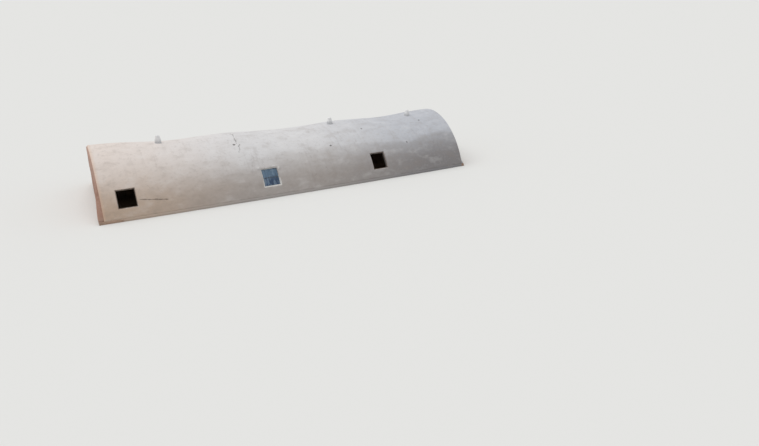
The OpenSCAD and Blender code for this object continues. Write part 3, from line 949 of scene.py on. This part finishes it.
def squared_bar(bm, low, high, edge, cuts, finish_index):
    """Adds a bar with eased edges, cut across its length so that it can bend"""
    low, high = Vector(low), Vector(high)
    size, middle = high - low, (low + high) / 2
    part = bmesh.new()
    to_size = Matrix.Translation(middle) @ Matrix.Diagonal(size).to_4x4()
    bmesh.ops.create_cube(part, size=1, matrix=to_size)
    round_edges(part, part.edges[:], edge, 2)
    long_way = max(range(3), key=lambda axis: size[axis])
    across = Vector([1.0 if axis == long_way else 0.0 for axis in range(3)])
    for k in range(1, cuts):
        cut_at = middle + across * size[long_way] * (k / cuts - 0.5)
        bmesh.ops.bisect_plane(part, geom=part.verts[:] + part.edges[:] + part.faces[:], dist=0.0001,
                               plane_co=cut_at, plane_no=across)
    for face in part.faces:
        face.material_index = finish_index
    join_in(bm, part)


sill, head = -sill_y, -head_y
for number, (x0, x1) in enumerate(window_edges, 1):
    for side_name, side in SIDES.items():
        bm = bmesh.new()
        left, right = x0 + frame_bar, x1 - frame_bar
        top, bottom = head + frame_bar, sill - frame_bar
        bars = [(x0, x1, head, top, 0), (x0, x1, bottom, sill, 0),
                (x0, left, top, bottom, 0), (right, x1, top, bottom, 0)]
        if number == 2:
            middle = (sill + head) / 2
            bars.append((left, right, middle - frame_bar / 4, middle + frame_bar / 4, 1))
        for a, b, upper, lower, finish_index in bars:
            girths = sorted((side * upper, side * lower))
            squared_bar(bm, (a, girths[0], -frame_set_in - frame_t), (b, girths[1], -frame_set_in),
                        bar_edge, bar_cuts, finish_index)
        for v in bm.verts:
            v.co.z += unevenness(v.co, bar_waves)
        fold(bm)
        finishes = [painted_wood, middle_bar_wood] if number == 2 else [open_window_wood]
        make_piece(f"{side_name}_window_{number}_bars", bm, finishes,
                   [f"{side_name}_window_frame_{number}"], smooth=False)

# Panes of the middle windows: glass painted with the dark of the room behind as painted
# shade and, lighter towards the top and in streaks, painted reflections of the sky, with
# dust and rain marks on it
glass_room_painted_shade = paint(52, 76, 108)
glass_painted_sky_reflection = paint(98, 124, 148)
painted_sky_reflection_streak = paint(146, 168, 190)
dark_streak = paint(62, 78, 92)
pane_dust = paint(118, 130, 138)
glass, tree, shader, place = new_finish("dusty_glass", 0.12, 0.5)
dust = wander(tree, place, 5, 5, 0.6)
streaks = wander(tree, stretch(tree, place, (9, 2, 2)), 1.0, 4, 0.6)
axes = axes_of(tree, place)
# Painted reflection: the glass lighter towards its top
colour = lay_on(tree, glass_room_painted_shade, glass_painted_sky_reflection, axes["Z"], 0.7, 0.95)
# Painted sky reflection in streaks, then darker rain marks
colour = lay_on(tree, colour, painted_sky_reflection_streak, streaks, 0.46, 0.62, 0.55)
colour = lay_on(tree, colour, dark_streak, streaks, 0.42, 0.3, 0.5)
colour = lay_on(tree, colour, pane_dust, dust, 0.5, 0.72, 0.4)
plug(tree, shader.inputs["Base Color"], colour)
plug(tree, shader.inputs["Roughness"], rise(tree, dust, 0.4, 0.7, 0.08, 0.35))
shader.inputs["Transmission Weight"].default_value = 0.2
shader.inputs["IOR"].default_value = 1.45
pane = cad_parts["window_glass"]
pane.data.materials.clear()
pane.data.materials.append(glass)


# Doorway: a rough lintel over the opening, a threshold in it, and a plain frame of two
# posts and a head, all sawn timber that has gone grey outside.
timber_edge = 0.008
timber_cuts = 12
timber_waves = [(0.5, 0.008), (0.12, 0.003)]
door_frame_w = 0.07
wall_middle = half_l - end_t / 2

timber_brown = paint(94, 74, 56)
timber_grey = paint(142, 120, 98)
timber_line = paint(74, 58, 44)


def timber_finish(name, stretched):
    """Sawn timber, its grain along the way that is stretched least"""
    finish, tree, shader, _ = new_finish(name, 0.8, 0.3)
    grain = use(tree, wood_grain, Stretch=stretched)
    colour = lay_on(tree, timber_brown, timber_grey, grain["Line"], 0.38, 0.62)
    colour = lay_on(tree, colour, timber_line, grain["Fibre"], 0.5, 0.68, 0.5)
    surface(tree, shader, colour, grain["Fibre"], 0.004, 0.7)
    return finish


timber_upright = timber_finish("timber_upright", (16, 16, 1))
timber_level = timber_finish("timber_level", (16, 1, 16))


def make_timbers(name, timbers, stands_for):
    """Squared timbers, slightly out of true. Each is a low and a high corner and a finish,
    0 upright and 1 level."""
    bm = bmesh.new()
    for low, high, finish_index in timbers:
        squared_bar(bm, low, high, timber_edge, timber_cuts, finish_index)
    for v in bm.verts:
        inward = Vector((-math.copysign(1, v.co.x - wall_middle), 0, 0))
        v.co += abs(unevenness(v.co, timber_waves)) * inward
    make_piece(name, bm, [timber_upright, timber_level], stands_for, smooth=False)


for node_name in ("door_lintel", "door_threshold"):
    low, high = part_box(node_name)
    make_timbers(f"{node_name}_beam", [(low, high, 1)], [node_name])

head_z = door_high.z - door_frame_w
make_timbers("door_frame_timbers",
             [((door_low.x, door_low.y, head_z), door_high, 1),
              (door_low, (door_high.x, door_low.y + door_frame_w, head_z), 0),
              ((door_low.x, door_high.y - door_frame_w, door_low.z), (door_high.x, door_high.y, head_z), 0)],
             ["door_frame"])


# Ridge vents: three stubs of plaster over pipes in the crown, drawn up by hand into
# rounded caps, run out at the foot onto the vault and limewashed whiter than it, greyer
# towards the foot as painted shade.
vent_foot_r = 0.14
vent_cap_r = 0.095
vent_h = 0.37
vent_gap_1 = 8.39
vent_forward = 0.2
vent_skirt_r = 0.165
vent_skirt_h = 0.06
vent_skirt_lip = 0.012
vent_bulge = 0.012
vent_buried = 0.05
vent_buried_r = vent_skirt_r * 0.9
vent_core_r = 0.05
vent_calm_foot = 0.05
vent_turns = 48
skirt_steps = 6
side_steps = 6
cap_steps = 7
vent_waves = [(0.22, 0.012), (0.07, 0.004)]
vent_low, vent_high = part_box("ridge_vents")
vent_first = vent_low.x + vent_foot_r
vent_places = [(vent_first, 0, 1.0), (vent_first + vent_gap_1, 0, 0.88),
               (vent_high.x - vent_foot_r, -vent_forward, 0.84)]

lime_dull = paint(228, 228, 228)
lime_clean = paint(244, 244, 245)
lime_painted_base_shade = paint(196, 197, 200)
limewash, tree, shader, place = new_finish("limewashed_vents")
grain = use(tree, earth_grain, Patches=5.0, Passes=24.0, Sand=150.0)
colour = lay_on(tree, lime_dull, lime_clean, grain["Patch"], 0.34, 0.62)
# Painted shade: greyer low on the stub, whiter towards the cap
up_stub = calc(tree, "MULTIPLY_ADD", grain["Pass"], 0.3, stored(tree, "up_stub"))
colour = lay_on(tree, colour, lime_painted_base_shade, up_stub, 0.75, 0.1)
streaks = use(tree, rain_streaks, Place=place, Width=26.0)["Mask"]
colour = tint(tree, times(tree, streaks, 0.2), colour, plaster_damp)
colour = lay_on(tree, colour, plaster_dust, grain["Pass"], 0.6, 0.72, 0.25)
surface(tree, shader, colour, grain["Height"], 0.012, 0.6)


def vent_outline():
    """Half outline of a stub from its buried foot, over the skirt, to the cap's top"""
    cap_z = vent_h - vent_cap_r
    points = [(0.0, -vent_buried), (vent_buried_r, -vent_buried), (vent_skirt_r, -vent_skirt_lip)]
    for k in range(1, skirt_steps + 1):
        angle = math.pi / 2 * k / skirt_steps
        points.append((vent_skirt_r - (vent_skirt_r - vent_foot_r) * math.sin(angle),
                       vent_skirt_h * (1 - math.cos(angle))))
    for k in range(1, side_steps):
        share = k / side_steps
        bulge = vent_bulge * math.sin(math.pi * share)
        points.append((vent_foot_r + (vent_cap_r - vent_foot_r) * share + bulge,
                       vent_skirt_h + (cap_z - vent_skirt_h) * share))
    for k in range(cap_steps + 1):
        angle = math.pi / 2 * k / cap_steps
        points.append((vent_cap_r * math.cos(angle), cap_z + vent_cap_r * math.sin(angle)))
    return points


bm = bmesh.new()
for vent_x, vent_y, tall in vent_places:
    stub = bmesh.new()
    up_layer = stub.verts.layers.float.new("up_stub")
    corners = [stub.verts.new((r, 0, z)) for r, z in vent_outline()]
    spine = [stub.edges.new(pair) for pair in zip(corners, corners[1:])]
    bmesh.ops.spin(stub, geom=corners + spine, axis=(0, 0, 1), cent=(0, 0, 0), angle=2 * math.pi,
                   steps=vent_turns, use_merge=True)
    bmesh.ops.remove_doubles(stub, verts=stub.verts[:], dist=0.0002)
    face_outwards(stub)
    for v in stub.verts:
        x, y, up = vent_x + v.co.x, vent_y + v.co.y, v.co.z * tall
        v[up_layer] = up / vent_h
        radius = max(vent_core_r, math.hypot(v.co.x, v.co.y))
        lift = max(0, min(1, up / vent_calm_foot))
        grow = 1 + unevenness(Vector((x, y, up)), vent_waves) * lift / radius
        # The foot follows the crown, and from half-way up the stub is level
        on_crown = outer_height(x, y)
        base = on_crown + (outer_height(vent_x, vent_y) - on_crown) * smooth_share(up / vent_h * 2)
        v.co = (vent_x + v.co.x * grow, vent_y + v.co.y * grow, base + up)
    join_in(bm, stub)
make_piece("vent_stubs", bm, [limewash], ["ridge_vents"])


# Studio: a pale floor, an even sky, and one very broad lamp high up behind the house on
# the left, so that shadows are soft and a colour renders about as it is written.
floor_reach = 400
floor_tone = paint(232, 232, 230)
backdrop_tone = paint(228, 228, 226)
sky_tone = (0.98, 0.99, 1.0, 1)
sky_strength = 0.52
lamp_tone = (1.0, 0.99, 0.975)
lamp_strength = 1.52
lamp_breadth = math.radians(70)
lamp_way = Vector((0.25, -0.22, -1))

stage_floor, _, shader, _ = new_finish("studio_floor", 1.0, 0.0)
shader.inputs["Base Color"].default_value = floor_tone
bm = bmesh.new()
bmesh.ops.create_grid(bm, x_segments=1, y_segments=1, size=floor_reach)
studio_floor = make_object("studio_floor", bm, [stage_floor])

# The sky lights the house, and the camera sees a plain backdrop, also in and through glass
world = bpy.data.worlds.new("studio")
world.use_nodes = True
tree = world.node_tree
sky = tree.nodes["Background"]
sky.inputs["Color"].default_value = sky_tone
sky.inputs["Strength"].default_value = sky_strength
backdrop = add(tree, "ShaderNodeBackground", Color=backdrop_tone, Strength=1.0)
ray = add(tree, "ShaderNodeLightPath").outputs
seen = calc(tree, "MAXIMUM", ray["Is Camera Ray"], ray["Is Glossy Ray"])
seen = calc(tree, "MAXIMUM", seen, ray["Is Transmission Ray"])
both = add(tree, "ShaderNodeMixShader", Fac=seen)
plug(tree, both.inputs[1], sky.outputs[0])
plug(tree, both.inputs[2], backdrop.outputs[0])
plug(tree, tree.nodes["World Output"].inputs["Surface"], both.outputs[0])
scene.world = world

lamp = bpy.data.lights.new("broad_lamp", "SUN")
lamp.energy = lamp_strength
lamp.angle = lamp_breadth
lamp.color = lamp_tone
lamp_stand = bpy.data.objects.new("broad_lamp", lamp)
lamp_stand.rotation_euler = lamp_way.to_track_quat("-Z", "Y").to_euler()
scene.collection.objects.link(lamp_stand)
